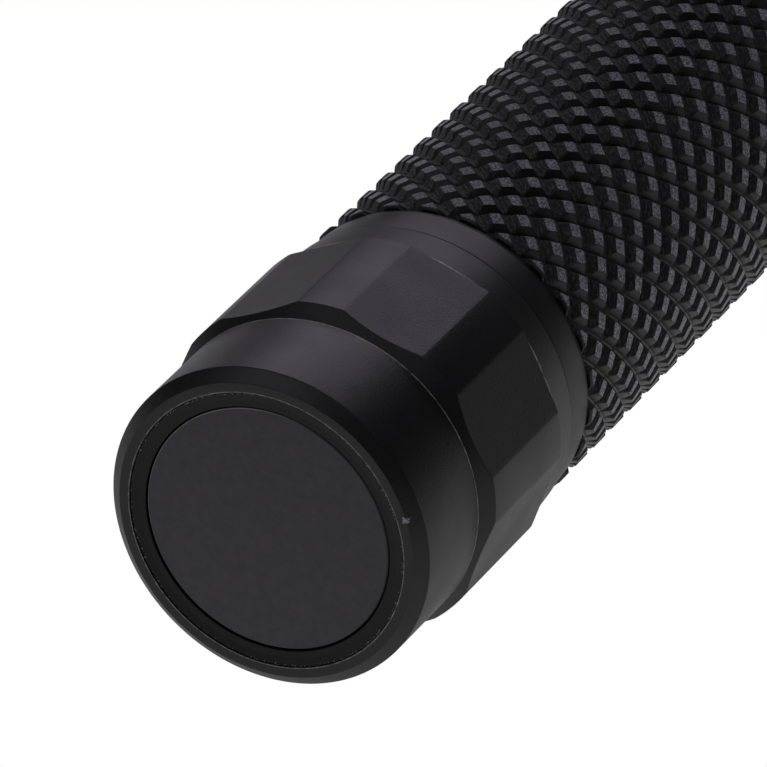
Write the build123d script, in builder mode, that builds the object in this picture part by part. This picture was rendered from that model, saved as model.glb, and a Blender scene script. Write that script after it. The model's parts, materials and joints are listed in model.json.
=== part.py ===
"""A tactical flashlight with a 25.4 mm body, one 18650 cell and a flat tail button.

The light lies along Y. Its tail face is at y = 0 and its beam leaves along +Y.
Z is up. All sizes are in millimetres. A section point is (radius, y).
"""

import os
from math import asin, cos, radians, sin

from build123d import *

# Tail cap
BODY_R = 12.7  # 25.4 mm (1 inch) body, the common size for ring and clamp mounts
RIM_R = 11.75  # outside of the flat rim
RIM_BORE_R = 10.97
RIM_CHAMFER = 0.8
LIP_END = 1.3  # thickness of the lip that holds the rubber ring in
TAIL_BAND_END = 8.8  # end of the smooth band behind the flats
COLLAR_R = 13.42  # outside of the faceted collar
COLLAR_START = 10.12
FLAT_DISTANCE = 12.99  # from the axis to each of the collar's eight flats
FLAT_END = 21.1
TAPER_R = 13.2  # start of the taper between the flats and the seam
CAP_END_R = 12.66
FLAT_TURN = 2.8  # degrees from +X to the first corner, seen from the tail
CAP_END = 24.3
CAP_BORE_R = 11.6

# Tail button and what holds it
BUTTON_R = 9.67
BUTTON_FACE = 0.18
BUTTON_WALL = 1.3
BUTTON_SKIRT_R = 8.4  # inside of the skirt under the face
FLANGE_R = 10.4
FLANGE_START = 2.9
FLANGE_END = 3.6
STEM_R = 2.6
STEM_END = 5.4
RING_BORE_R = 9.78
RING_R = 10.9
RING_FLANGE_R = 11.5
CLAMP_BORE_R = 10.6
CLAMP_END = 6.2

# Tail switch
SWITCH_R = 5.6
SWITCH_START = 7.2
SWITCH_WELL_R = 4.2
SWITCH_WELL_START = 8.3
SWITCH_WELL_END = 12.0
PLUNGER_R = 1.8
PLUNGER_HEAD_R = 2.9
PLUNGER_HEAD_START = 8.4
PLUNGER_HEAD_END = 9.2
SPACER_BORE_R = 9.9
TAIL_BOARD_START = 12.6
TAIL_BOARD_END = 13.8
TAIL_BOARD_R = 11.4
RETAINER_END = 16.6
RETAINER_BORE_R = 8.2
WRENCH_SLOT = 1.6
WRENCH_SLOT_DEPTH = 1.2
SPRING_WIRE_R = 0.45

# Body tube and cell
THREAD_R = 11.55  # outside of both male threads, shown plain
TUBE_BORE_R = 9.6
TUBE_START = 17.4
NECK_R = 12.62  # smooth neck between the cap and the grip
NECK_END_R = 12.45
NECK_END = 27.4
RELIEF_R = 12.2  # turned down to the knurl's roots
GRIP_START = 28.2
GRIP_END = 80.4
GRIP_R = 12.65  # the knurl's crests, so that the smooth band past them stands proud
SEAM = 88.0  # where the tube meets the head
TUBE_END = 93.4
GROOVE_R = 10.72  # floor of both O-ring grooves
GROOVE_WIDTH = 1.0
TAIL_GROOVE = 22.4
HEAD_GROOVE = 88.8
ORING_SECTION_R = 0.42
CELL_START = 22.2
CELL_END = 87.2
CELL_R = 9.1
WRAP = 0.12
CAN_WALL = 0.25

# Head
DRIVER_START = 95.1
DRIVER_END = 96.4
DRIVER_WELL_R = 10.2
DRIVER_RETAINER_BORE_R = 8.6
SHELF_START = 100.4
SHELF_END = 103.4
LIGHT_WELL_R = 9.4
LED_BOARD_END = 105.0
LED_BOARD_R = 8.0
EMITTER_THICKNESS = 0.7
DOME_R = 2.2
DOME_HEIGHT = 1.1
REFLECTOR_START = 106.1
REFLECTOR_END = 124.4
REFLECTOR_R = 13.5
REFLECTOR_HOLE_R = 3.8
REFLECTOR_MOUTH_R = 12.6
HEAD_R = 16.8
HEAD_FLAT_DISTANCE = 16.0
HEAD_FLATS_START = 107.4
HEAD_FLATS_END = 120.8
HEAD_END = 122.6
FIN_R = 14.4
FIN_FLOOR_R = 13.0
FIN_COUNT = 4
FIN_START = 93.0
FIN_PITCH = 2.7
FIN_GAP = 1.3
BEZEL_SOCKET_R = 14.6
BEZEL_SOCKET_START = 118.4
BEZEL_START = 119.0
BEZEL_THREAD_R = 14.55
BEZEL_THREAD_BORE_R = 13.55
BEZEL_R = 15.7
BEZEL_MOUTH_R = 12.5
BEZEL_END = 132.4
NOTCH_R = 2.8  # six shallow notches in the bezel's front edge
NOTCH_CENTRE = 134.0
LENS_END = 126.45
WIRE_R = 0.5
WIRE_OFFSET = 6.3
SCREW_OFFSET = 6.1
SCREW_R = 0.8
SCREW_HEAD_R = 1.55
SCREW_HEAD = 0.9

GAP = 0.05  # between neighbours that meet face to face but can turn or slide

os.makedirs("parts", exist_ok=True)


def turn(*points, mode=Mode.ADD):
    """Revolve a closed half section about the light's axis."""
    with BuildSketch(Plane.XY) as section:
        with BuildLine():
            Polyline(*points, close=True)
        make_face()
    revolve(section.sketch, axis=Axis.Y, mode=mode)


def tube(inner, outer, start, end, mode=Mode.ADD):
    """Turn a plain ring, or a disc when the inner radius is zero."""
    turn((inner, start), (outer, start), (outer, end), (inner, end), mode=mode)


def oring(radius, y, section_radius):
    """Turn a round seal whose section is centred at the given radius and y."""
    with BuildSketch(Plane.XY) as section:
        with Locations((radius, y)):
            Circle(section_radius)
    revolve(section.sketch, axis=Axis.Y)


def coil(radius, wire_radius, start, end, pitch):
    """Sweep round wire along a helix between two values of y."""
    height = end - start - 2 * wire_radius
    foot = (0, start + wire_radius, 0)
    with BuildLine() as line:
        Helix(pitch, height, radius, center=foot, direction=(0, 1, 0))
    path = line.line
    with BuildSketch(Plane(origin=path @ 0, z_dir=path % 0)) as section:
        Circle(wire_radius)
    sweep(section.sketch, path=path, is_frenet=True)


def across(y):
    """Plane square to the axis whose own axes are X and Z."""
    return Plane.XZ.offset(-y)


def mill_flats(distance, stock_radius, start, end, rotation):
    """Cut eight flats into turned stock, between two values of y."""
    with BuildSketch(across(start)) as waste:
        Circle(stock_radius + 2)
        RegularPolygon(distance, 8, major_radius=False, rotation=rotation, mode=Mode.SUBTRACT)
    extrude(waste.sketch, amount=start - end, mode=Mode.SUBTRACT)


def drill(radius, spots, start, end):
    """Drill holes along the axis direction at the given (x, z) spots."""
    with BuildSketch(across(start)) as holes:
        with Locations(*spots):
            Circle(radius)
    extrude(holes.sketch, amount=start - end, mode=Mode.SUBTRACT)


def save(piece, label):
    """Label a finished piece and write its STEP file."""
    piece.part.label = label
    export_step(piece.part, f"parts/{label}.step")


# ---------------------------------------------------------------- tail cap

with BuildPart() as tail_cap:
    turn(
        (RIM_BORE_R, 0),
        (RIM_R, 0),
        (BODY_R, RIM_CHAMFER),
        (BODY_R, TAIL_BAND_END),
        (BODY_R - 0.15, TAIL_BAND_END + 0.1),
        (BODY_R - 0.15, TAIL_BAND_END + 0.25),
        (COLLAR_R, COLLAR_START),
        (COLLAR_R, FLAT_END - 0.2),
        (TAPER_R, FLAT_END),
        (CAP_END_R + 0.1, CAP_END - 0.1),
        (CAP_END_R, CAP_END),
        (CAP_BORE_R, CAP_END),
        (CAP_BORE_R, LIP_END),
        (RIM_BORE_R, LIP_END),
    )
    mill_flats(FLAT_DISTANCE, COLLAR_R, TAIL_BAND_END + 0.25, FLAT_END, FLAT_TURN)
save(tail_cap, "tail_cap")

with BuildPart() as boot_ring:
    turn(
        (RING_BORE_R, 0.5),
        (RING_BORE_R + 0.3, 0.16),
        (RING_R - 0.25, 0.1),
        (RING_R, 0.35),
        (RING_R, LIP_END + GAP),
        (RING_FLANGE_R, LIP_END + GAP),
        (RING_FLANGE_R, FLANGE_START - GAP),
        (RING_BORE_R, FLANGE_START - GAP),
    )
save(boot_ring, "boot_ring")

with BuildPart() as boot_clamp_ring:
    tube(CLAMP_BORE_R, RING_FLANGE_R, FLANGE_START - GAP, CLAMP_END)
save(boot_clamp_ring, "boot_clamp_ring")

with BuildPart() as tail_button:
    turn(
        (0, BUTTON_FACE),
        (BUTTON_R - 0.15, BUTTON_FACE),
        (BUTTON_R, BUTTON_FACE + 0.15),
        (BUTTON_R, FLANGE_START),
        (FLANGE_R, FLANGE_START),
        (FLANGE_R, FLANGE_END),
        (BUTTON_SKIRT_R, FLANGE_END),
        (BUTTON_SKIRT_R, BUTTON_FACE + BUTTON_WALL),
        (STEM_R, BUTTON_FACE + BUTTON_WALL),
        (STEM_R, STEM_END),
        (0, STEM_END),
    )
save(tail_button, "tail_button")

# ------------------------------------------------------------- tail switch

with BuildPart() as switch_plunger:
    turn(
        (0, STEM_END),
        (PLUNGER_R, STEM_END),
        (PLUNGER_R, PLUNGER_HEAD_START),
        (PLUNGER_HEAD_R, PLUNGER_HEAD_START),
        (PLUNGER_HEAD_R, PLUNGER_HEAD_END),
        (0, PLUNGER_HEAD_END),
    )
save(switch_plunger, "switch_plunger")

with BuildPart() as switch_housing:
    turn(
        (PLUNGER_R + GAP, SWITCH_START),
        (SWITCH_R, SWITCH_START),
        (SWITCH_R, TAIL_BOARD_START),
        (0, TAIL_BOARD_START),
        (0, SWITCH_WELL_END),
        (SWITCH_WELL_R, SWITCH_WELL_END),
        (SWITCH_WELL_R, SWITCH_WELL_START),
        (PLUNGER_R + GAP, SWITCH_WELL_START),
    )
save(switch_housing, "switch_housing")

with BuildPart() as switch_spring:
    coil(2.0, 0.2, PLUNGER_HEAD_END, SWITCH_WELL_END, 0.75)
save(switch_spring, "switch_spring")

with BuildPart() as switch_spacer:
    tube(SPACER_BORE_R, RING_FLANGE_R, CLAMP_END, TAIL_BOARD_START)
save(switch_spacer, "switch_spacer")

with BuildPart() as switch_board:
    tube(0, TAIL_BOARD_R, TAIL_BOARD_START, TAIL_BOARD_END)
save(switch_board, "switch_board")

with BuildPart() as switch_retaining_ring:
    tube(RETAINER_BORE_R, RING_FLANGE_R, TAIL_BOARD_END, RETAINER_END)
    with BuildSketch(across(RETAINER_END - WRENCH_SLOT_DEPTH)) as slots:
        Rectangle(2 * CAP_BORE_R, WRENCH_SLOT)
    extrude(slots.sketch, amount=-WRENCH_SLOT_DEPTH, mode=Mode.SUBTRACT)
save(switch_retaining_ring, "switch_retaining_ring")

with BuildPart() as tail_contact_spring:
    coil(4.0, SPRING_WIRE_R, TAIL_BOARD_END, CELL_START, 1.7)
save(tail_contact_spring, "tail_contact_spring")

# -------------------------------------------------------- body tube, seals

with BuildPart() as body_tube:
    turn(
        (TUBE_BORE_R, TUBE_START),
        (THREAD_R - 0.3, TUBE_START),
        (THREAD_R, TUBE_START + 0.3),
        (THREAD_R, TAIL_GROOVE),
        (GROOVE_R, TAIL_GROOVE),
        (GROOVE_R, TAIL_GROOVE + GROOVE_WIDTH),
        (THREAD_R, TAIL_GROOVE + GROOVE_WIDTH),
        (THREAD_R, CAP_END + GAP),
        (NECK_R - 0.1, CAP_END + GAP),
        (NECK_R, CAP_END + 0.15),
        (NECK_END_R, NECK_END - 0.1),
        (RELIEF_R, NECK_END + 0.1),
        (RELIEF_R, GRIP_START),
        (GRIP_R, GRIP_START + 0.3),
        (GRIP_R, GRIP_END),
        (BODY_R, GRIP_END),
        (BODY_R, SEAM - 0.3),
        (BODY_R - 0.3, SEAM),
        (THREAD_R, SEAM),
        (THREAD_R, HEAD_GROOVE),
        (GROOVE_R, HEAD_GROOVE),
        (GROOVE_R, HEAD_GROOVE + GROOVE_WIDTH),
        (THREAD_R, HEAD_GROOVE + GROOVE_WIDTH),
        (THREAD_R, TUBE_END - 0.3),
        (THREAD_R - 0.3, TUBE_END),
        (TUBE_BORE_R, TUBE_END),
    )
save(body_tube, "body_tube")

with BuildPart() as tail_oring:
    oring(GROOVE_R + ORING_SECTION_R, TAIL_GROOVE + GROOVE_WIDTH / 2, ORING_SECTION_R)
save(tail_oring, "tail_oring")

with BuildPart() as head_oring:
    oring(GROOVE_R + ORING_SECTION_R, HEAD_GROOVE + GROOVE_WIDTH / 2, ORING_SECTION_R)
save(head_oring, "head_oring")

# -------------------------------------------------------------------- cell

with BuildPart() as cell_can:
    turn(
        (0, CELL_START),
        (CELL_R - 0.5, CELL_START),
        (CELL_R, CELL_START + 0.5),
        (CELL_R, CELL_END - 0.4),
        (CELL_R - 0.4, CELL_END),
        (0, CELL_END),
        (0, CELL_END - CAN_WALL),
        (CELL_R - CAN_WALL, CELL_END - CAN_WALL),
        (CELL_R - CAN_WALL, CELL_START + CAN_WALL + 0.3),
        (CELL_R - CAN_WALL - 0.3, CELL_START + CAN_WALL),
        (0, CELL_START + CAN_WALL),
    )
save(cell_can, "cell_can")

with BuildPart() as cell_core:
    tube(1.0, CELL_R - CAN_WALL, CELL_START + 1.0, CELL_END - 1.5)
save(cell_core, "cell_core")

with BuildPart() as cell_wrap:
    tube(CELL_R, CELL_R + WRAP, CELL_START + 0.5, CELL_END - 0.4)
save(cell_wrap, "cell_wrap")

with BuildPart() as cell_insulator:
    tube(3.6, 7.6, CELL_END, CELL_END + 0.2)
save(cell_insulator, "cell_insulator")

with BuildPart() as cell_positive_cap:
    turn(
        (0, CELL_END),
        (3.2, CELL_END),
        (2.9, CELL_END + 1.4),
        (0, CELL_END + 1.4),
    )
save(cell_positive_cap, "cell_positive_cap")

# ----------------------------------------------------------------- driver

with BuildPart() as driver_contact_spring:
    coil(2.4, SPRING_WIRE_R, CELL_END + 1.4, DRIVER_START, 1.55)
save(driver_contact_spring, "driver_contact_spring")

with BuildPart() as driver_retaining_ring:
    tube(DRIVER_RETAINER_BORE_R, RING_FLANGE_R, TUBE_END + GAP, DRIVER_START)
save(driver_retaining_ring, "driver_retaining_ring")

with BuildPart() as driver_board:
    tube(0, TAIL_BOARD_R, DRIVER_START, DRIVER_END)
save(driver_board, "driver_board")

with BuildPart() as driver_parts:
    with BuildSketch(across(DRIVER_END)) as inductor:
        with Locations((0, 4.2)):
            RectangleRounded(5.2, 5.2, 0.6)
    extrude(inductor.sketch, amount=-2.6)
    with BuildSketch(across(DRIVER_END)) as chips:
        with Locations((-2.8, -1.6)):
            Rectangle(3.9, 4.9)
        with Locations((3.2, -2.2)):
            Rectangle(3.0, 3.0)
    extrude(chips.sketch, amount=-1.1)
    with BuildSketch(across(DRIVER_END)) as capacitors:
        with Locations((-1.6, -6.6), (1.4, -6.6), (4.4, -6.2)):
            Rectangle(1.2, 2.0)
    extrude(capacitors.sketch, amount=-0.8)
save(driver_parts, "driver_parts")

with BuildPart() as led_wires:
    with BuildSketch(across(DRIVER_END)) as wires:
        with Locations((-WIRE_OFFSET, 0), (WIRE_OFFSET, 0)):
            Circle(WIRE_R)
    extrude(wires.sketch, amount=DRIVER_END - LED_BOARD_END - 0.5)
save(led_wires, "led_wires")

# ------------------------------------------------------------------- head

with BuildPart() as head_housing:
    turn(
        (12.4, SEAM + GAP),
        (12.9, SEAM + 0.5),
        (12.9, SEAM + 2.2),
        (FIN_R, SEAM + 4.0),
        (FIN_R, HEAD_FLATS_START - 2.4),
        (HEAD_R, HEAD_FLATS_START),
        (HEAD_R, HEAD_FLATS_END),
        (HEAD_R - 0.9, HEAD_END - 0.4),
        (HEAD_R - 1.3, HEAD_END),
        (BEZEL_SOCKET_R, HEAD_END),
        (BEZEL_SOCKET_R, BEZEL_SOCKET_START),
        (REFLECTOR_R + 0.1, BEZEL_SOCKET_START),
        (13.0, 113.0),
        (LIGHT_WELL_R, HEAD_FLATS_START),
        (LIGHT_WELL_R, SHELF_END),
        (0, SHELF_END),
        (0, SHELF_START),
        (DRIVER_WELL_R, SHELF_START),
        (DRIVER_WELL_R, DRIVER_END),
        (CAP_BORE_R, DRIVER_END),
        (CAP_BORE_R, SEAM + GAP),
    )
    for index in range(FIN_COUNT):
        groove = FIN_START + index * FIN_PITCH
        tube(FIN_FLOOR_R, HEAD_R, groove, groove + FIN_GAP, mode=Mode.SUBTRACT)
    mill_flats(HEAD_FLAT_DISTANCE, HEAD_R, HEAD_FLATS_START - 3, HEAD_END, 22.5)
    drill(WIRE_R + 0.3, [(-WIRE_OFFSET, 0), (WIRE_OFFSET, 0)], SHELF_START, SHELF_END)
    drill(SCREW_R, [(0, -SCREW_OFFSET), (0, SCREW_OFFSET)], SHELF_START, SHELF_END)
save(head_housing, "head_housing")

# ------------------------------------------------------------ light engine

with BuildPart() as led_board:
    tube(0, LED_BOARD_R, SHELF_END, LED_BOARD_END)
    drill(WIRE_R + 0.2, [(-WIRE_OFFSET, 0), (WIRE_OFFSET, 0)], SHELF_END, LED_BOARD_END)
    drill(SCREW_R + 0.3, [(0, -SCREW_OFFSET), (0, SCREW_OFFSET)], SHELF_END, LED_BOARD_END)
save(led_board, "led_board")

with BuildPart() as board_screws:
    with BuildSketch(across(SHELF_START + 0.4)) as shanks:
        with Locations((0, -SCREW_OFFSET), (0, SCREW_OFFSET)):
            Circle(SCREW_R - 0.02)
    extrude(shanks.sketch, amount=SHELF_START + 0.4 - LED_BOARD_END)
    with BuildSketch(across(LED_BOARD_END)) as heads:
        with Locations((0, -SCREW_OFFSET), (0, SCREW_OFFSET)):
            Circle(SCREW_HEAD_R)
    extrude(heads.sketch, amount=-SCREW_HEAD)
    with BuildSketch(across(LED_BOARD_END + 0.4)) as drives:
        with Locations((0, -SCREW_OFFSET), (0, SCREW_OFFSET)):
            RegularPolygon(0.7, 6)
    extrude(drives.sketch, amount=-0.5, mode=Mode.SUBTRACT)
save(board_screws, "board_screws")

with BuildPart() as led_emitter:
    with BuildSketch(across(LED_BOARD_END)) as package:
        Rectangle(5.0, 5.0)
    extrude(package.sketch, amount=-EMITTER_THICKNESS)
    dome_foot = LED_BOARD_END + EMITTER_THICKNESS
    sphere_r = (DOME_R**2 + DOME_HEIGHT**2) / (2 * DOME_HEIGHT)
    centre = dome_foot + DOME_HEIGHT - sphere_r
    half = asin(DOME_R / sphere_r) / 2
    with BuildSketch(Plane.XY) as dome:
        with BuildLine():
            Line((0, dome_foot), (DOME_R, dome_foot))
            ThreePointArc(
                (DOME_R, dome_foot),
                (sphere_r * sin(half), centre + sphere_r * cos(half)),
                (0, centre + sphere_r),
            )
            Line((0, centre + sphere_r), (0, dome_foot))
        make_face()
    revolve(dome.sketch, axis=Axis.Y)
save(led_emitter, "led_emitter")

with BuildPart() as led_gasket:
    with BuildSketch(across(LED_BOARD_END)) as ring:
        Circle(4.3)
        Rectangle(5.1, 5.1, mode=Mode.SUBTRACT)
    extrude(ring.sketch, amount=LED_BOARD_END - REFLECTOR_START)
save(led_gasket, "led_gasket")

with BuildPart() as reflector:
    # The bowl is a parabola: radius squared grows evenly with depth.
    growth = (REFLECTOR_MOUTH_R**2 - REFLECTOR_HOLE_R**2) / (REFLECTOR_END - REFLECTOR_START)
    steps = [REFLECTOR_START + i * (REFLECTOR_END - REFLECTOR_START) / 8 for i in range(9)]
    bowl = [((REFLECTOR_HOLE_R**2 + growth * (y - REFLECTOR_START)) ** 0.5, y) for y in steps]
    with BuildSketch(Plane.XY) as wall:
        with BuildLine():
            Spline(*bowl)
            Polyline(
                (REFLECTOR_MOUTH_R, REFLECTOR_END),
                (REFLECTOR_R, REFLECTOR_END),
                (REFLECTOR_R, 119.9),
                (12.2, 118.4),
                (9.0, 112.5),
                (5.4, 107.0),
                (5.4, REFLECTOR_START),
                (REFLECTOR_HOLE_R, REFLECTOR_START),
            )
        make_face()
    revolve(wall.sketch, axis=Axis.Y)
save(reflector, "reflector")

with BuildPart() as lens:
    tube(0, REFLECTOR_R, REFLECTOR_END, LENS_END)
save(lens, "lens")

with BuildPart() as lens_oring:
    oring(12.95, LENS_END + 0.5, 0.5)
save(lens_oring, "lens_oring")

with BuildPart() as bezel_ring:
    turn(
        (BEZEL_THREAD_BORE_R, BEZEL_START),
        (BEZEL_THREAD_R, BEZEL_START),
        (BEZEL_THREAD_R, HEAD_END + GAP),
        (BEZEL_R - 0.3, HEAD_END + GAP),
        (BEZEL_R, HEAD_END + 0.4),
        (BEZEL_R, BEZEL_END - 1.2),
        (BEZEL_R - 0.9, BEZEL_END),
        (13.7, BEZEL_END),
        (BEZEL_MOUTH_R, BEZEL_END - 3.0),
        (BEZEL_MOUTH_R, LENS_END + 1.0),
        (BEZEL_THREAD_BORE_R, LENS_END + 1.0),
    )
    for index in range(6):
        angle = radians(60 * index + 30)
        spoke = Plane(origin=(0, NOTCH_CENTRE, 0), z_dir=(cos(angle), 0, sin(angle)))
        with BuildSketch(spoke) as notch:
            Circle(NOTCH_R)
        extrude(notch.sketch, amount=HEAD_R, mode=Mode.SUBTRACT)
save(bezel_ring, "bezel_ring")
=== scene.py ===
"""Looks of the tactical flashlight: knurl, facets, rounded edges, materials, light and camera.

The light lies along Y with its tail face at y = 0, as in the CAD frame. A section
point is (radius, y) in millimetres; everything is turned into metres when it is built.
"""

import json
import math

import bpy
import numpy as np
from mathutils import Matrix, Vector


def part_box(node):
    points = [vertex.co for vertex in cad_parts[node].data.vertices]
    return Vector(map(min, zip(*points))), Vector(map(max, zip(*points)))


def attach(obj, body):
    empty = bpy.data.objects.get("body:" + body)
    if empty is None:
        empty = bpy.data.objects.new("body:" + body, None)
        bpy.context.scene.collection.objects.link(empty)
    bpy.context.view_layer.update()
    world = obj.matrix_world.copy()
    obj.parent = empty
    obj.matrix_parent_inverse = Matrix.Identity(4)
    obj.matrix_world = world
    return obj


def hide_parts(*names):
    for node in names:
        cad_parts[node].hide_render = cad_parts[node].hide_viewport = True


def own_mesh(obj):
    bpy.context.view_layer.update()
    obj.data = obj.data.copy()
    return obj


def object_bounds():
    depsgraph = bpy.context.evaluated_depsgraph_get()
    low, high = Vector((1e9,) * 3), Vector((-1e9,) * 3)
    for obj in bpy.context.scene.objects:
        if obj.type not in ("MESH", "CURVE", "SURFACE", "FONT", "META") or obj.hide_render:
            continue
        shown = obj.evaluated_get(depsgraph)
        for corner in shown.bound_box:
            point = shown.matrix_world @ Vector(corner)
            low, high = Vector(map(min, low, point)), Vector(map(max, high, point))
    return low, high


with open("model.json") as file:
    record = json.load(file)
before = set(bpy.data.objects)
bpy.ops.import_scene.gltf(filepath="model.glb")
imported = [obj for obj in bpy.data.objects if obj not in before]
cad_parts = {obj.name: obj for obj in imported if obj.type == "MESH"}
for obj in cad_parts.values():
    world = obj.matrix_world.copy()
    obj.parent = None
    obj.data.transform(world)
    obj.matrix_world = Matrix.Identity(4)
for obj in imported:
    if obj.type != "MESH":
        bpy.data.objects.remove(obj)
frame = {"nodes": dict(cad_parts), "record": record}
cad_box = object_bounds()

MM = 0.001
TURN = 2 * math.pi


def high_y(node):
    """Far end of a CAD node along the light, in millimetres."""
    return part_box(node)[1][1] / MM


def low_y(node):
    """Near end of a CAD node along the light, in millimetres."""
    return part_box(node)[0][1] / MM


# Sizes that several pieces share, in millimetres and degrees
CAP_END = high_y("tail_cap")
TUBE_START = low_y("body_tube")
TUBE_END = high_y("body_tube")
HEAD_START = low_y("head_housing")
HEAD_END = high_y("head_housing")
BEZEL_START = low_y("bezel_ring")
BEZEL_END = high_y("bezel_ring")

BODY_R = 12.7
COLLAR_R = 13.42
FLAT_DISTANCE = 12.99
COLLAR_START = 10.12
FLAT_END = 21.1
TAPER_R = 12.98
CAP_END_R = 12.66
NECK_R = 12.62
NECK_END_R = 12.45
NECK_END = 27.4
RELIEF_R = 12.3
FLAT_TURN = 2.8
THREAD_R = 11.55
THREAD_PITCH = 1.0
THREAD_DEPTH = 0.42
CAP_BORE_R = 11.6
TUBE_BORE_R = 9.6
ORING_SEAT_R = 10.72
AXIS_R = 0.001  # a section that reaches the axis stops just short of it
OUTSIDE_R = 10.0  # sections are refined only past this radius

RIM_BORE_R = 10.97  # the cap's opening round the rubber ring
RIM_R = 11.78
BAND_END = 8.80  # front of the smooth band behind the flats
BAND_GROOVE_R = BODY_R - 0.16
LIP_END = 1.3
BUTTON_R = 9.65
BUTTON_FACE = 0.28
FLANGE_START = 2.9
FLANGE_END = 3.6
FLANGE_R = 10.4
SKIRT_R = 8.4
STEM_R = 2.6
STEM_END = 5.4
SKIRT_TOP = 1.48
RING_BORE_R = 9.79
RING_R = 10.965
RING_FLANGE_R = 11.5
RING_END = 2.85

KNURL_START = 28.0
KNURL_END = 80.4
KNURL_R = 12.65
KNURL_PITCH = 3.148
KNURL_COUNT = 25
KNURL_STEPS = 15  # mesh steps to one pitch, both along and around the tube
SMOOTH_CUT, ROUGH_CUT = 0.68, 0.52  # depths of the two crossed cuts
# From the middle of a diamond's top to each cut's edge, as a share of the pitch
SMOOTH_TOP, ROUGH_TOP = 4 / KNURL_STEPS, 3 / KNURL_STEPS
STREAKS_ACROSS, STREAKS_ALONG = 18.0, 4.0  # scrape marks to one pitch of the rough cut
SLEEVE_R = 11.75  # inside of the knurled sleeve, which covers the plain tube
KNURL_TOP = (29.8, math.radians(86.3))  # y and angle of one diamond's middle

SPRING_R = 2.0
SPRING_WIRE_R = 0.2
SPRING_PITCH = 0.75

HEAD_R = 16.8
HEAD_FLAT_DISTANCE = 16.0
HEAD_FLAT_TURN = 22.5

CHIP = (11.14, 0.05, 3.65)  # a knock in the rim, near its outer edge: x, y and z
# Turned edges made paler, partly by wear and partly as a painted highlight for their glint: y and half
# width
WEAR_AND_GLINT_EDGES = ((BAND_END - 0.06, 0.14), (FLAT_END + 0.04, 0.16), (CAP_END - 0.06, 0.06))

# ------------------------------------------------------------------ meshes


def even_columns(count):
    """Angles that divide the circle evenly."""
    return np.arange(count) * TURN / count


def facet_columns(turn_degrees, distance, radius, on_flat=10, on_land=8):
    """Angles for eight flats, with a pair of columns close to every corner."""
    half = math.acos(distance / radius)
    close = math.radians(0.12)
    land = TURN / 8 - 2 * half
    flat_part = np.linspace(-half + close, half - close, on_flat)
    land_part = half + close + np.linspace(0, land - 2 * close, on_land)
    middle = math.radians(turn_degrees) + TURN / 16
    sectors = [middle + i * TURN / 8 + np.r_[flat_part, land_part] for i in range(8)]
    return np.concatenate(sectors)


def rounded(points, arc_steps=5):
    """Polyline of (radius, y) from corners of (radius, y, fillet), rounding each closed corner."""
    out = []
    count = len(points)
    for i in range(count):
        corner = Vector(points[i][:2])
        fillet = points[i][2] if len(points[i]) > 2 else 0.0
        before = Vector(points[i - 1][:2]) - corner
        after = Vector(points[(i + 1) % count][:2]) - corner
        if fillet <= 0:
            out.append(tuple(corner))
            continue
        half = before.angle(after) / 2
        reach = min(fillet / math.tan(half), 0.49 * before.length, 0.49 * after.length)
        start = corner + before.normalized() * reach
        end = corner + after.normalized() * reach
        for k in range(arc_steps + 1):
            t = k / arc_steps
            out.append(tuple(start * (1 - t) ** 2 + corner * 2 * t * (1 - t) + end * t**2))
    return out


def refine(points, starts):
    """Add points along a closed section where (low y, high y, step) asks for them."""
    out = []
    count = len(points)
    for i in range(count):
        a, b = Vector(points[i]), Vector(points[(i + 1) % count])
        out.append(tuple(a))
        middle = (a + b) / 2
        for low, high, step in starts:
            if low <= middle.y <= high and middle.x > OUTSIDE_R:
                pieces = max(1, math.ceil((b - a).length / step))
                out += [tuple(a.lerp(b, k / pieces)) for k in range(1, pieces)]
                break
    return out


def mesh_object(name, points, faces, sharp_degrees):
    """A smooth mesh whose edges are sharp past an angle."""
    mesh = bpy.data.meshes.new(name)
    mesh.from_pydata(points.tolist(), [], faces)
    mesh.polygons.foreach_set("use_smooth", np.ones(len(mesh.polygons), bool))
    mesh.set_sharp_from_angle(angle=math.radians(sharp_degrees))
    mesh.validate()
    piece = bpy.data.objects.new(name, mesh)
    bpy.context.collection.objects.link(piece)
    return piece


def pair_of_triangles(first, second):
    """Two triangles for every square, from arrays of vertex numbers."""
    return np.stack([np.stack(first, -1), np.stack(second, -1)], -2)


def turned(name, section, columns, warp=None, sharp_degrees=30, split=None):
    """Turn a closed section about Y. warp(radius, y, angle) may move the points."""
    section = np.array(section)
    radius = np.repeat(section[:, 0:1], len(columns), axis=1)
    y = np.repeat(section[:, 1:2], len(columns), axis=1)
    angle = np.repeat(np.asarray(columns)[None, :], len(section), axis=0)
    if warp:
        radius, y = warp(radius, y, angle)
    points = np.stack([radius * np.cos(angle), y, radius * np.sin(angle)], axis=-1) * MM
    rows, cols = radius.shape
    index = np.arange(rows * cols).reshape(rows, cols)
    below, beside = np.roll(index, -1, axis=0), np.roll(index, -1, axis=1)
    opposite = np.roll(below, -1, axis=1)
    if split is None:
        faces = np.stack([index, beside, opposite, below], axis=-1).reshape(-1, 4)
    else:
        one = split(radius, y, angle)
        faces = np.where(
            one[..., None, None],
            pair_of_triangles((index, beside, opposite), (index, opposite, below)),
            pair_of_triangles((index, beside, below), (beside, opposite, below)),
        ).reshape(-1, 3)
    return mesh_object(name, points.reshape(-1, 3), faces.tolist(), sharp_degrees)


def flats(distance, turn_degrees, low, high, edge=0.05):
    """Warp that mills eight flats between two values of y, and rounds their edges a little."""
    middle = math.radians(turn_degrees) + TURN / 16

    def warp(radius, y, angle):
        off = (angle - middle + TURN / 16) % (TURN / 8) - TURN / 16
        flat = distance / np.cos(off)
        blend = np.clip(0.5 + (flat - radius) / (2 * edge), 0, 1)
        soft = flat + (radius - flat) * blend - edge * blend * (1 - blend)
        milled = (y > low) & (y < high) & (radius > distance - 1)
        return np.where(milled, np.minimum(soft, radius), radius), y

    return warp


# ---------------------------------------------------------------- tail cap


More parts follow.
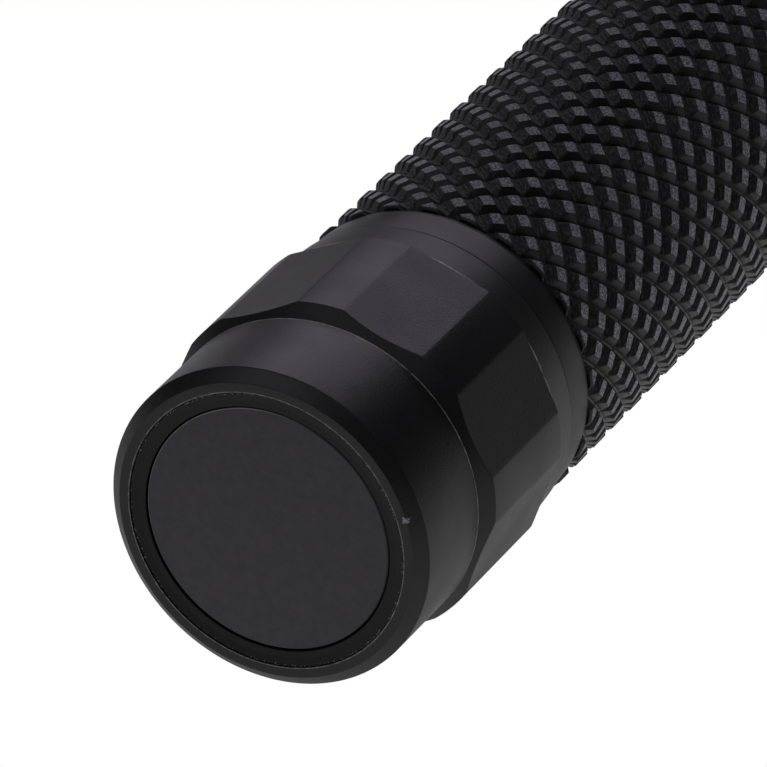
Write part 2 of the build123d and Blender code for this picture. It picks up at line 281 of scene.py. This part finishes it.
def make_tail_cap():
    """Faceted cap: rim, smooth band, fine groove, scalloped shoulder, eight flats."""
    section = rounded(
        [
            (RIM_BORE_R, 0.0, 0.04),
            (RIM_R, 0.0, 0.10),
            (BODY_R, 0.80, 0.16),
            (BODY_R, BAND_END, 0.07),
            (BAND_GROOVE_R, BAND_END + 0.06, 0.03),
            (BAND_GROOVE_R, BAND_END + 0.22, 0.02),
            (COLLAR_R, COLLAR_START, 0.06),
            (COLLAR_R, FLAT_END - 0.10, 0.06),
            (TAPER_R, FLAT_END + 0.22, 0.03),
            (CAP_END_R + 0.09, CAP_END - 0.12, 0.05),
            (CAP_END_R - 0.04, CAP_END, 0.02),
            (CAP_BORE_R, CAP_END, 0.05),
            (CAP_BORE_R, LIP_END),
            (RIM_BORE_R, LIP_END),
        ]
    )
    section = refine(section, [(8.95, COLLAR_START + 0.05, 0.05), (COLLAR_START, FLAT_END - 0.1, 3.0)])
    columns = facet_columns(FLAT_TURN, FLAT_DISTANCE, COLLAR_R, on_flat=44, on_land=22)
    mill = flats(FLAT_DISTANCE, FLAT_TURN, 9.0, FLAT_END + 0.2, 0.03)
    return turned("tail_cap_shell", section, columns, mill)


def make_button():
    """Flat disc with a fine bevelled edge, a flange that holds it in and a stem."""
    section = rounded(
        [
            (AXIS_R, BUTTON_FACE),
            (BUTTON_R - 0.09, BUTTON_FACE, 0.04),
            (BUTTON_R, BUTTON_FACE + 0.10, 0.04),
            (BUTTON_R, FLANGE_START),
            (FLANGE_R, FLANGE_START, 0.1),
            (FLANGE_R, FLANGE_END, 0.1),
            (SKIRT_R, FLANGE_END),
            (SKIRT_R, SKIRT_TOP),
            (STEM_R, SKIRT_TOP),
            (STEM_R, STEM_END),
            (AXIS_R, STEM_END),
        ]
    )
    return turned("button_disc", section, even_columns(192))


def make_boot_ring():
    """Moulded rubber ring: highest beside the rim, sloping down a little to the button."""
    section = rounded(
        [
            (RING_BORE_R, 0.24, 0.04),
            (10.30, 0.22, 0.50),
            (RING_R - 0.085, 0.10, 0.06),
            (RING_R, 0.12, 0.02),
            (RING_R, LIP_END + 0.05),
            (RING_FLANGE_R, LIP_END + 0.05, 0.1),
            (RING_FLANGE_R, RING_END, 0.1),
            (RING_BORE_R - 0.01, RING_END),
        ]
    )
    return turned("button_ring", section, even_columns(192))


def make_switch_spring():
    """Coil spring behind the switch plunger."""
    low = low_y("switch_spring") + SPRING_WIRE_R
    high = high_y("switch_spring") - SPRING_WIRE_R
    steps, sides = 96, 10
    share = np.linspace(0, 1, steps)[:, None]
    ring = even_columns(sides)[None, :]
    around = TURN * share * (high - low) / SPRING_PITCH
    radius = SPRING_R + SPRING_WIRE_R * np.cos(ring)
    y = low + (high - low) * share + SPRING_WIRE_R * np.sin(ring)
    points = np.stack([radius * np.cos(around), y, radius * np.sin(around)], axis=-1) * MM
    index = np.arange(steps * sides).reshape(steps, sides)
    beside = np.roll(index, -1, axis=1)
    faces = np.stack([index[:-1], beside[:-1], beside[1:], index[1:]], axis=-1).reshape(-1, 4).tolist()
    faces += [index[0, ::-1].tolist(), index[-1].tolist()]
    return mesh_object("plunger_spring", points.reshape(-1, 3), faces, 40)


# --------------------------------------------------------------- body tube


def groove_depth(y, angle):
    """Depth below the crests of the two crossed sets of V grooves."""
    along = (y - KNURL_TOP[0]) / KNURL_PITCH
    around = (angle - KNURL_TOP[1]) * KNURL_COUNT / TURN
    depth = np.zeros_like(along)
    cuts = ((along + around, SMOOTH_CUT, SMOOTH_TOP), (along - around, ROUGH_CUT, ROUGH_TOP))
    for lattice, cut, top in cuts:
        off_middle = np.abs((lattice + 0.5) % 1 - 0.5)
        depth = np.maximum(depth, cut * (off_middle - top) / (0.5 - top))
    return depth


def knurl_fade(y):
    """0 where the knurling tool hasn't reached, 1 at its full depth."""
    return np.clip((y - KNURL_START + 0.3) / 0.3, 0, 1) * np.clip((KNURL_END - y) / 0.7, 0, 1)


def knurl_warp(radius, y, angle):
    """Cut the grooves into the sleeve's outside."""
    return np.where(radius > SLEEVE_R + 0.1, radius - groove_depth(y, angle) * knurl_fade(y), radius), y


def knurl_split(radius, y, angle):
    """Split each square of the mesh along the diagonal that lies nearer the true surface."""
    far = np.roll(radius, -1, 0)
    middle_y = (y + np.roll(y, -1, 0)) / 2
    true = KNURL_R - groove_depth(middle_y, angle + TURN / radius.shape[1] / 2) * knurl_fade(middle_y)
    first = np.abs((radius + np.roll(far, -1, 1)) / 2 - true)
    second = np.abs((np.roll(radius, -1, 1) + far) / 2 - true)
    return first <= second


def make_knurl():
    """Diamond-knurled outside of the body tube."""
    step = KNURL_PITCH / KNURL_STEPS
    first = KNURL_TOP[0] - math.floor((KNURL_TOP[0] - KNURL_START) / step) * step
    rows = np.arange(first + step, KNURL_END, step)
    section = [(SLEEVE_R, KNURL_START), (KNURL_R - 0.15, KNURL_START + 0.02)]
    section += [(KNURL_R, first + step / 2)]
    section += [(KNURL_R, y) for y in rows]
    section += [(KNURL_R, KNURL_END), (SLEEVE_R, KNURL_END)]
    columns = KNURL_TOP[1] + even_columns(KNURL_COUNT * KNURL_STEPS)
    return turned("knurled_sleeve", section, columns, knurl_warp, 24, knurl_split)


def thread_warp(radius, y, angle):
    """Cut the male threads at both ends of the tube."""
    ridge = np.clip(2.4 * np.abs((y / THREAD_PITCH - angle / TURN) % 1 - 0.5) - 0.15, 0, 1)
    at_tail = (y > TUBE_START + 0.5) & (y < 22.2)
    at_head = (y > HEAD_START + 2.2) & (y < TUBE_END - 0.5)
    threaded = (radius > 11) & (radius < THREAD_R + 0.01) & (at_tail | at_head)
    return np.where(threaded, radius - THREAD_DEPTH * ridge, radius), y


def make_tube():
    """Body tube under the knurl: threads, O-ring grooves, neck and smooth front band."""
    outer = [
        (TUBE_BORE_R, TUBE_START),
        (THREAD_R - 0.3, TUBE_START),
        (THREAD_R, TUBE_START + 0.3),
        (THREAD_R, 22.4),
        (ORING_SEAT_R, 22.4),
        (ORING_SEAT_R, 23.4),
        (THREAD_R, 23.4),
        (THREAD_R, CAP_END + 0.05),
        (NECK_R - 0.10, CAP_END + 0.05, 0.03),
        (NECK_R, CAP_END + 0.16, 0.06),
        (NECK_END_R, NECK_END, 0.08),
        (RELIEF_R, NECK_END + 0.12, 0.05),
        (RELIEF_R + 0.05, KNURL_START - 0.2),
        (SLEEVE_R + 0.2, KNURL_START + 0.1),
        (SLEEVE_R + 0.1, KNURL_START + 0.4),
        (SLEEVE_R + 0.1, KNURL_END - 0.4),
        (KNURL_R - 0.45, KNURL_END - 0.3),
        (BODY_R, KNURL_END + 0.05, 0.05),
        (BODY_R, HEAD_START - 0.3, 0.1),
        (BODY_R - 0.3, HEAD_START - 0.05),
        (THREAD_R, HEAD_START - 0.05),
        (THREAD_R, HEAD_START + 0.75),
        (ORING_SEAT_R, HEAD_START + 0.75),
        (ORING_SEAT_R, HEAD_START + 1.75),
        (THREAD_R, HEAD_START + 1.75),
        (THREAD_R, TUBE_END - 0.3),
        (THREAD_R - 0.3, TUBE_END),
        (TUBE_BORE_R, TUBE_END),
    ]
    threads = [(TUBE_START + 0.4, 22.2, 0.16), (HEAD_START + 2, TUBE_END - 0.4, 0.16)]
    return turned("tube_core", refine(rounded(outer), threads), even_columns(160), thread_warp)


# -------------------------------------------------------------------- head


def make_head():
    """Head: seat for the tube, cooling fins, eight anti-roll flats."""
    fin_r, floor_r = 14.4, 13.0
    fins, fin_pitch, fin_gap = 4, 2.7, 1.3
    outer = [(12.4, HEAD_START, 0.05), (12.9, HEAD_START + 0.45, 0.1), (12.9, HEAD_START + 2.2, 0.3)]
    outer += [(fin_r, HEAD_START + 3.95, 0.3)]
    for i in range(fins):
        y = HEAD_START + 4.95 + fin_pitch * i
        outer += [(fin_r, y, 0.12), (floor_r, y, 0.12)]
        outer += [(floor_r, y + fin_gap, 0.12), (fin_r, y + fin_gap, 0.12)]
    outer += [(fin_r, 105.0, 0.4), (HEAD_R, 107.4, 0.5), (HEAD_R, 120.8, 0.3)]
    outer += [(HEAD_R - 0.9, HEAD_END - 0.4, 0.15), (HEAD_R - 1.3, HEAD_END, 0.1)]
    inner = [(14.6, HEAD_END, 0.1), (14.6, 118.4), (13.6, 118.4), (13.0, 113.0), (9.4, 107.4)]
    inner += [(9.4, 103.4), (AXIS_R, 103.4), (AXIS_R, 100.4), (10.2, 100.4), (10.2, 96.4)]
    inner += [(CAP_BORE_R, 96.4), (CAP_BORE_R, HEAD_START)]
    section = refine(rounded(outer + inner), [(104.9, 107.6, 0.1), (120.6, HEAD_END, 0.1)])
    columns = facet_columns(HEAD_FLAT_TURN, HEAD_FLAT_DISTANCE, HEAD_R, on_flat=40, on_land=14)
    mill = flats(HEAD_FLAT_DISTANCE, HEAD_FLAT_TURN, 104.4, HEAD_END, 0.03)
    return turned("head_shell", section, columns, mill)


def make_bezel():
    """Bezel with six shallow notches in its front edge."""
    crown = BEZEL_END - 2.6
    notch_r, notch_depth = 2.8, 1.2
    notch_turn = TURN / 6

    def warp(radius, y, angle):
        off = angle % notch_turn - notch_turn / 2
        side = radius * np.sin(off)
        inside = np.clip(notch_r**2 - side**2, 0, None)
        cut = np.clip(np.sqrt(inside) - (notch_r - notch_depth), 0, None)
        share = np.clip((y - crown) / (BEZEL_END - crown), 0, 1)
        return radius, y - cut * share

    section = rounded(
        [
            (13.55, BEZEL_START),
            (14.55, BEZEL_START),
            (14.55, HEAD_END + 0.05),
            (15.4, HEAD_END + 0.05, 0.05),
            (15.7, HEAD_END + 0.4, 0.15),
            (15.7, crown - 3.0, 0.05),
            (15.55, crown - 2.9, 0.05),
            (15.55, crown - 2.5, 0.05),
            (15.7, crown - 2.4, 0.05),
            (15.7, crown),
            (15.7, BEZEL_END - 1.2, 0.4),
            (14.8, BEZEL_END, 0.15),
            (13.7, BEZEL_END, 0.15),
            (12.5, BEZEL_END - 3.0, 0.2),
            (12.5, 127.45, 0.05),
            (13.55, 127.45),
        ]
    )
    section = refine(section, [(crown - 0.5, BEZEL_END, 0.3)])
    return turned("bezel_shell", section, even_columns(360), warp)


# --------------------------------------------------------------- materials


class Finish:
    """A Principled material with a few helpers for its nodes."""

    def __init__(self, name, color, roughness, **sockets):
        self.material = bpy.data.materials.new(name)
        self.material.use_nodes = True
        self.tree = self.material.node_tree
        self.shader = self.tree.nodes["Principled BSDF"]
        self.shader.inputs["Base Color"].default_value = (*color, 1)
        self.shader.inputs["Roughness"].default_value = roughness
        for socket, value in sockets.items():
            self.shader.inputs[socket.replace("_", " ")].default_value = value
        self.place = self.node("ShaderNodeTexCoord").outputs["Object"]
        self.relief = None

    def node(self, kind, **inputs):
        """Add a node; inputs are constants or outputs of other nodes, by number or name."""
        made = self.tree.nodes.new(kind)
        for key, value in inputs.items():
            numbered = key[0] == "i" and key[1:].isdigit()
            socket = made.inputs[int(key[1:]) if numbered else key]
            if isinstance(value, bpy.types.NodeSocket):
                self.tree.links.new(value, socket)
            else:
                socket.default_value = value
        return made

    def math(self, operation, a, b=0.0, clamp=False):
        made = self.node("ShaderNodeMath", i0=a, i1=b)
        made.operation = operation
        made.use_clamp = clamp
        return made.outputs[0]

    def noise(self, grain_mm, detail=2.0, roughness=0.6, stretch=None):
        """Noise whose grains are about grain_mm across."""
        place = self.place
        if stretch:
            mapping = self.node("ShaderNodeMapping", Vector=place)
            mapping.inputs["Scale"].default_value = stretch
            place = mapping.outputs[0]
        made = self.node("ShaderNodeTexNoise", Vector=place)
        made.inputs["Scale"].default_value = 1 / (grain_mm * MM)
        made.inputs["Detail"].default_value = detail
        made.inputs["Roughness"].default_value = roughness
        return made.outputs["Fac"]

    def span(self, value, low_in, high_in, low, high):
        """Map one range onto another and clamp."""
        made = self.node("ShaderNodeMapRange", Value=value)
        sockets = ("From Min", "From Max", "To Min", "To Max")
        for key, number in zip(sockets, (low_in, high_in, low, high)):
            made.inputs[key].default_value = number
        return made.outputs[0]

    def bump(self, height, depth_mm, strength=1.0):
        """Add relief: a height of 1 stands depth_mm proud."""
        made = self.node("ShaderNodeBump", Height=height)
        made.inputs["Distance"].default_value = depth_mm * MM
        made.inputs["Strength"].default_value = strength
        if self.relief:
            self.tree.links.new(self.relief, made.inputs["Normal"])
        self.relief = made.outputs[0]
        self.tree.links.new(self.relief, self.shader.inputs["Normal"])

    def roughen(self, value, low, high):
        """Vary the roughness by a value from 0 to 1."""
        self.tree.links.new(self.span(value, 0.3, 0.7, low, high), self.shader.inputs["Roughness"])

    def tint(self, value, dark, light, low_in=0.3, high_in=0.7):
        """Vary the colour by a value between two colours, either of which may be a tint."""
        mix = self.node("ShaderNodeMix")
        mix.data_type = "RGBA"
        for socket, color in ((mix.inputs[6], dark), (mix.inputs[7], light)):
            if isinstance(color, bpy.types.NodeSocket):
                self.tree.links.new(color, socket)
            else:
                socket.default_value = (*color, 1)
        self.tree.links.new(self.span(value, low_in, high_in, 0, 1), mix.inputs[0])
        self.tree.links.new(mix.outputs[2], self.shader.inputs["Base Color"])
        return mix.outputs[2]

    def cylinder(self):
        """Distance from the light's axis and place along it, in metres."""
        split = self.node("ShaderNodeSeparateXYZ", Vector=self.place)
        across = self.math("MULTIPLY", split.outputs[0], split.outputs[0])
        up = self.math("MULTIPLY", split.outputs[2], split.outputs[2])
        return self.math("SQRT", self.math("ADD", across, up)), split.outputs[1]

    def knurl(self, y):
        """How far past a diamond's top the rough and the smooth cut are, and a place for streaks."""
        split = self.node("ShaderNodeSeparateXYZ", Vector=self.place)
        angle = self.math("ARCTAN2", split.outputs[2], split.outputs[0])
        around = self.math("MULTIPLY", self.math("SUBTRACT", angle, KNURL_TOP[1]), KNURL_COUNT / TURN)
        along = self.math("DIVIDE", self.math("SUBTRACT", y, KNURL_TOP[0] * MM), KNURL_PITCH * MM)
        past, lattices = [], []
        for operation, top in (("SUBTRACT", ROUGH_TOP), ("ADD", SMOOTH_TOP)):
            lattice = self.math(operation, along, around)
            nearest = self.math("ROUND", lattice)
            off = self.math("ABSOLUTE", self.math("SUBTRACT", lattice, nearest))
            past.append(self.math("SUBTRACT", off, top))
            lattices.append(lattice)
        across = self.math("MULTIPLY", lattices[0], STREAKS_ACROSS)
        streak = self.math("MULTIPLY", lattices[1], STREAKS_ALONG)
        place = self.node("ShaderNodeCombineXYZ", X=across, Y=streak)
        return past[0], past[1], place.outputs[0]

    def near(self, value, centre, half_width):
        """1 where a value in metres is at a centre in millimetres, 0 past the half width."""
        off = self.math("ABSOLUTE", self.math("SUBTRACT", value, centre * MM))
        return self.span(off, 0, half_width * MM, 1, 0)

    def distance(self, spot):
        """Distance in metres from a point given in millimetres."""
        made = self.node("ShaderNodeVectorMath", i0=self.place, i1=tuple(c * MM for c in spot))
        made.operation = "DISTANCE"
        return made.outputs["Value"]


def anodised():
    """Bead-blasted aluminium under black hard anodising; one chip is paler, and its edges are paler
    partly from wear and partly as a painted highlight.
    """
    finish = Finish("anodised_blasted", (0.008, 0.0075, 0.009), 0.40)
    finish.bump(finish.noise(0.16, detail=3.0), 0.020)
    finish.roughen(finish.noise(6.0, detail=3.0), 0.36, 0.44)
    colour = finish.tint(finish.noise(0.25), (0.0065, 0.006, 0.0075), (0.0105, 0.010, 0.012))
    radius, y = finish.cylinder()
    # Pale bands at the rim's bore and the turned edges: partly wear, partly a painted highlight
    # standing in for their glint.
    at_bore = finish.near(radius, RIM_BORE_R + 0.07, 0.08)
    wear_and_glint = finish.math("MULTIPLY", at_bore, finish.near(y, 0, 0.2))
    for place, half_width in WEAR_AND_GLINT_EDGES:
        line = finish.math("MULTIPLY", finish.near(y, place, half_width), 2.0, clamp=True)
        wear_and_glint = finish.math("MAXIMUM", wear_and_glint, line)
    uneven = finish.span(finish.noise(0.5, detail=4.0), 0.35, 0.65, 0.35, 1)
    # The pale colour on these bands is partly wear and partly painted highlight.
    colour = finish.tint(finish.math("MULTIPLY", wear_and_glint, uneven), colour, (0.40, 0.385, 0.36), 0.2, 1)
    ragged = finish.math("MULTIPLY", finish.noise(0.3, detail=4.0), 0.9 * MM)
    away = finish.math("ADD", finish.distance(CHIP), ragged)
    finish.tint(away, (0.30, 0.32, 0.38), colour, 0.62 * MM, 0.70 * MM)
    return finish.material


def anodised_knurl():
    """The same anodising on the knurl: tops torn by the lathe and paler, one cut rougher."""
    shine, dull_shine = 0.38, 0.68
    feed_mm = 0.36
    finish = Finish("anodised_knurl", (0.008, 0.008, 0.009), shine)
    _, y = finish.cylinder()
    first, second, cuts = finish.knurl(y)
    groove = finish.math("MAXIMUM", first, second)
    past_start = finish.span(y, (KNURL_START + 0.12) * MM, (KNURL_START + 0.3) * MM, 0, 1)
    crest = finish.math("MULTIPLY", finish.span(groove, -0.012, 0.006, 1, 0), past_start)
    rough_wall = finish.span(finish.math("SUBTRACT", first, second), 0.0, 0.02, 0, 1)
    rough_wall = finish.math("MULTIPLY", rough_wall, finish.span(groove, 0.0, 0.02, 0, 1))
    finish.bump(finish.noise(0.16, detail=3.0), 0.014)
    streaks = finish.node("ShaderNodeTexNoise", Vector=cuts)
    streaks.inputs["Scale"].default_value = 1.0
    streaks.inputs["Detail"].default_value = 3.0
    finish.bump(finish.math("MULTIPLY", streaks.outputs["Fac"], rough_wall), 0.22)
    wobble = finish.math("MULTIPLY", finish.noise(0.5, detail=2.0), 3.0)
    turns = finish.math("ADD", finish.math("MULTIPLY", y, TURN / (feed_mm * MM)), wobble)
    feed = finish.math("MULTIPLY", finish.math("SINE", turns), 0.5)
    finish.bump(finish.math("MULTIPLY", feed, crest), 0.035)
    torn = finish.noise(0.16, detail=4.0, roughness=0.75)
    finish.bump(finish.math("MULTIPLY", torn, crest), 0.18)
    plain = finish.tint(finish.noise(0.3), (0.006, 0.006, 0.007), (0.012, 0.0115, 0.0125))
    scraped = finish.math("MULTIPLY", streaks.outputs["Fac"], rough_wall)
    plain = finish.tint(scraped, plain, (0.075, 0.075, 0.08), 0.5, 0.7)
    pale = finish.tint(torn, (0.075, 0.075, 0.082), (0.46, 0.46, 0.51), 0.42, 0.62)
    finish.tint(crest, plain, pale, 0, 1)
    dull = finish.span(rough_wall, 0, 1, shine, dull_shine)
    finish.tree.links.new(dull, finish.shader.inputs["Roughness"])
    finish.tree.links.new(crest, finish.shader.inputs["Metallic"])
    return finish.material


def button_face():
    """Fine matte face of the button, with a painted highlight along the upper left of its edge."""
    finish = Finish("button_matte", (0.036, 0.034, 0.036), 0.58)
    finish.bump(finish.noise(0.10, detail=2.0), 0.006)
    mottling = finish.noise(0.8, detail=6.0, roughness=0.75)
    face = finish.tint(mottling, (0.046, 0.043, 0.047), (0.068, 0.063, 0.069))
    radius, _ = finish.cylinder()
    # Painted highlight: a pale line on the upper left of the disc's edge, where the light catches it,
    # painted into the colour.
    split = finish.node("ShaderNodeSeparateXYZ", Vector=finish.place)
    side = finish.math("SUBTRACT", finish.math("MULTIPLY", split.outputs[2], 0.8), split.outputs[0])
    painted_highlight_side = finish.span(side, 2 * MM, 9 * MM, 0, 1)
    edge = finish.math("MULTIPLY", painted_highlight_side, finish.near(radius, BUTTON_R - 0.05, 0.05))
    # The pale colour here is the painted highlight on the edge.
    finish.tint(edge, face, (0.50, 0.48, 0.43), 0.1, 0.9)
    return finish.material


def rubber(name="rubber_black"):
    """Black silicone with faint mould texture and dust caught along its outer edge."""
    finish = Finish(name, (0.008, 0.0085, 0.009), 0.50, Specular_IOR_Level=0.3)
    finish.bump(finish.noise(0.3, detail=3.0), 0.01)
    radius, _ = finish.cylinder()
    edge = finish.span(radius, 10.72 * MM, 10.84 * MM, 0, 0.22)
    dust = finish.math("ADD", finish.noise(0.16, detail=1.0), edge)
    finish.tint(dust, (0.0075, 0.008, 0.0085), (0.20, 0.20, 0.20), 0.82, 0.87)
    return finish.material


def plain_metal(name, color, roughness, stretch=(1, 12, 1)):
    """Turned or drawn bare metal with fine marks."""
    finish = Finish(name, color, roughness, Metallic=1.0)
    marks = finish.noise(0.4, detail=3.0, stretch=stretch)
    finish.bump(marks, 0.006)
    finish.roughen(marks, roughness * 0.8, roughness * 1.25)
    return finish.material


def plastic(name, color, roughness):
    """Moulded plastic with a slight orange peel."""
    finish = Finish(name, color, roughness)
    finish.bump(finish.noise(0.5, detail=2.0), 0.008)
    light = tuple(min(1.0, c * 1.12 + 0.004) for c in color)
    finish.tint(finish.noise(1.5), color, light)
    return finish.material


def board(name, color, light):
    """Circuit board with copper tracks showing faintly under its mask."""
    finish = Finish(name, color, 0.35)
    tracks = finish.node("ShaderNodeTexVoronoi", Vector=finish.place)
    tracks.inputs["Scale"].default_value = 1 / (1.6 * MM)
    tracks.distance = "CHEBYCHEV"
    finish.tint(tracks.outputs["Distance"], color, light, 0.30, 0.36)
    finish.bump(tracks.outputs["Distance"], 0.02)
    return finish.material


def glass():
    """Coated lens glass."""
    finish = Finish("lens_glass", (0.96, 0.99, 0.98), 0.015, IOR=1.5, Transmission_Weight=1.0)
    finish.bump(finish.noise(9.0, detail=1.0), 0.0004)
    return finish.material


def phosphor():
    """Yellow LED phosphor under its dome."""
    finish = Finish("led_phosphor", (0.88, 0.70, 0.12), 0.25)
    finish.bump(finish.noise(0.2, detail=2.0), 0.01)
    finish.tint(finish.noise(0.4), (0.80, 0.62, 0.10), (0.92, 0.76, 0.18))
    return finish.material


MATERIALS = {
    "hard_anodised": anodised(),
    "knurl": anodised_knurl(),
    "button_face": button_face(),
    "silicone": rubber(),
    "brass": plain_metal("turned_brass", (0.72, 0.52, 0.22), 0.28),
    "black_plastic": plastic("black_moulding", (0.02, 0.02, 0.022), 0.5),
    "white_plastic": plastic("white_moulding", (0.78, 0.78, 0.75), 0.45),
    "circuit_board": board("green_board", (0.01, 0.09, 0.03), (0.03, 0.16, 0.06)),
    "chips": plastic("chip_epoxy", (0.02, 0.02, 0.022), 0.35),
    "copper_board": board("white_board", (0.75, 0.75, 0.72), (0.82, 0.80, 0.74)),
    "spring_steel": plain_metal("plated_wire", (0.74, 0.70, 0.62), 0.22),
    "cell_steel": plain_metal("nickel_plate", (0.62, 0.62, 0.63), 0.25),
    "electrode_roll": plain_metal("wound_foil", (0.38, 0.36, 0.34), 0.4),
    "cell_wrap": plastic("shrink_sleeve", (0.03, 0.10, 0.28), 0.22),
    "stainless": plain_metal("stainless", (0.55, 0.55, 0.56), 0.3),
    "mirror": plain_metal("reflector_coat", (0.93, 0.93, 0.94), 0.04, stretch=(1, 1, 1)),
    "glass": glass(),
    "phosphor": phosphor(),
    "wire": plastic("wire_silicone", (0.30, 0.02, 0.02), 0.4),
}


def dress(piece, material):
    """Give a piece one material."""
    piece.data.materials.clear()
    piece.data.materials.append(MATERIALS[material])


# ------------------------------------------------------------------ pieces

for subpart in frame["record"]["subparts"]:
    dress(frame["nodes"][subpart["node"]], subpart["material_slot"])

PIECES = (
    (make_tail_cap, "tail_cap", "tail_cap_group", "hard_anodised", "hard_anodised"),
    (make_button, "tail_button", "button_group", "button_face", "button_face"),
    (make_boot_ring, "boot_ring", "tail_carrier", "silicone", "silicone"),
    (make_switch_spring, "switch_spring", "tail_cap_group", "spring_steel", "spring_steel"),
    (make_tube, "body_tube", "light_body", "hard_anodised", "hard_anodised"),
    (make_knurl, "body_tube", "light_body", "knurl", "hard_anodised"),
    (make_head, "head_housing", "light_body", "hard_anodised", "hard_anodised"),
    (make_bezel, "bezel_ring", "light_body", "hard_anodised", "hard_anodised"),
)
for make, node, body, material, slot in PIECES:
    piece = make()
    dress(piece, material)
    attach(piece, body)
    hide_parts(node)

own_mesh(bpy.data.objects["plunger_spring"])

# ------------------------------------------------------- camera and studio

AZIMUTH = math.radians(26.28)
ELEVATION = math.radians(28.95)
FOCAL_LENGTH = 500.6
DISTANCE = 762.9  # from the camera to the tail rim, along its line of sight
RIM_LEFT = 8.443  # the rim's centre is left of the picture's centre by this much
RIM_DOWN = 10.557

GLOW_CENTRE = (0, 30, 0)  # in millimetres: the panels aim here and the floor glows round it
GLOW_REACH = (0.08, 0.36)  # metres from there to where the glow starts to fade and ends
FLOOR_GLOW = 0.39
FLOOR_GAP = 0.05  # millimetres under the light
FLOOR_SIZE = 4.0  # metres each way
WORLD_STRENGTH = 0.03


def add_camera():
    """Camera behind the tail, above and to the right, with a long lens."""
    data = bpy.data.cameras.new("camera")
    data.lens = FOCAL_LENGTH
    data.sensor_width = 36
    data.clip_start = 0.01
    data.clip_end = 50
    camera = bpy.data.objects.new("camera", data)
    bpy.context.collection.objects.link(camera)
    back = Vector(
        (
            math.sin(AZIMUTH) * math.cos(ELEVATION),
            -math.cos(AZIMUTH) * math.cos(ELEVATION),
            math.sin(ELEVATION),
        )
    )
    right = Vector((math.cos(AZIMUTH), math.sin(AZIMUTH), 0))
    up = back.cross(right)
    spot = (back * DISTANCE + right * RIM_LEFT + up * RIM_DOWN) * MM
    rotation = Matrix((right, up, back)).transposed()
    camera.matrix_world = Matrix.Translation(spot) @ rotation.to_4x4()
    bpy.context.scene.camera = camera


def add_panel(name, direction, distance, width, height, power, color):
    """Soft light panel in a direction from the object, facing it."""
    data = bpy.data.lights.new(name, "AREA")
    data.shape = "RECTANGLE"
    data.size = width
    data.size_y = height
    data.energy = power
    data.color = color
    panel = bpy.data.objects.new(name, data)
    bpy.context.collection.objects.link(panel)
    aim = Vector(GLOW_CENTRE) * MM
    away = Vector(direction).normalized()
    panel.location = aim + away * distance
    panel.rotation_euler = away.to_track_quat("Z", "Y").to_euler()


def towards(azimuth, elevation):
    """Unit vector: azimuth 0 is +Y, positive towards +X."""
    a, e = math.radians(azimuth), math.radians(elevation)
    return (math.sin(a) * math.cos(e), math.cos(a) * math.cos(e), math.sin(e))


def add_floor():
    """Plain pale floor, just under the lowest part of the light. The camera sees it white; it
    lights the object with a soft glow of its own, which fades with distance."""
    low = cad_box[0][2] - FLOOR_GAP * MM
    size = FLOOR_SIZE
    mesh = bpy.data.meshes.new("floor")
    corners = [(-size, -size, low), (size, -size, low), (size, size, low), (-size, size, low)]
    mesh.from_pydata(corners, [], [(0, 1, 2, 3)])
    floor = bpy.data.objects.new("floor", mesh)
    bpy.context.collection.objects.link(floor)
    finish = Finish("floor_white", (0.5, 0.5, 0.5), 0.9)
    glow = finish.node("ShaderNodeEmission")
    seen = finish.node("ShaderNodeLightPath").outputs["Is Camera Ray"]
    blend = finish.node("ShaderNodeMixShader", i0=seen, i1=finish.shader.outputs[0], i2=glow.outputs[0])
    output = finish.tree.nodes["Material Output"]
    finish.tree.links.new(blend.outputs[0], output.inputs["Surface"])
    reach = finish.span(finish.distance(GLOW_CENTRE), *GLOW_REACH, FLOOR_GLOW, 0.0)
    finish.shader.inputs["Emission Color"].default_value = (1, 1, 1, 1)
    finish.tree.links.new(reach, finish.shader.inputs["Emission Strength"])
    mesh.materials.append(finish.material)


def add_world():
    """Dim even surroundings."""
    world = bpy.data.worlds.new("studio")
    world.use_nodes = True
    background = world.node_tree.nodes["Background"]
    background.inputs["Color"].default_value = (1, 1, 1, 1)
    background.inputs["Strength"].default_value = WORLD_STRENGTH
    bpy.context.scene.world = world


add_camera()
add_floor()
add_world()
# Name, direction, distance, width, height in metres, watts, colour
PANELS = (
    ("key_panel", towards(-16, 34), 1.2, 0.85, 0.62, 2.25, (0.93, 0.88, 1)),
    ("left_panel", towards(-53, 13), 1.2, 0.40, 0.42, 0.55, (0.95, 0.90, 1)),
    ("top_panel", towards(110, 68), 1.2, 0.9, 0.9, 0.9, (0.95, 0.91, 1)),
    ("back_panel", towards(-150, 44), 1.3, 0.9, 0.9, 1.7, (0.98, 0.94, 1)),
)
for panel in PANELS:
    add_panel(*panel)
bpy.context.scene.view_settings.view_transform = "Standard"
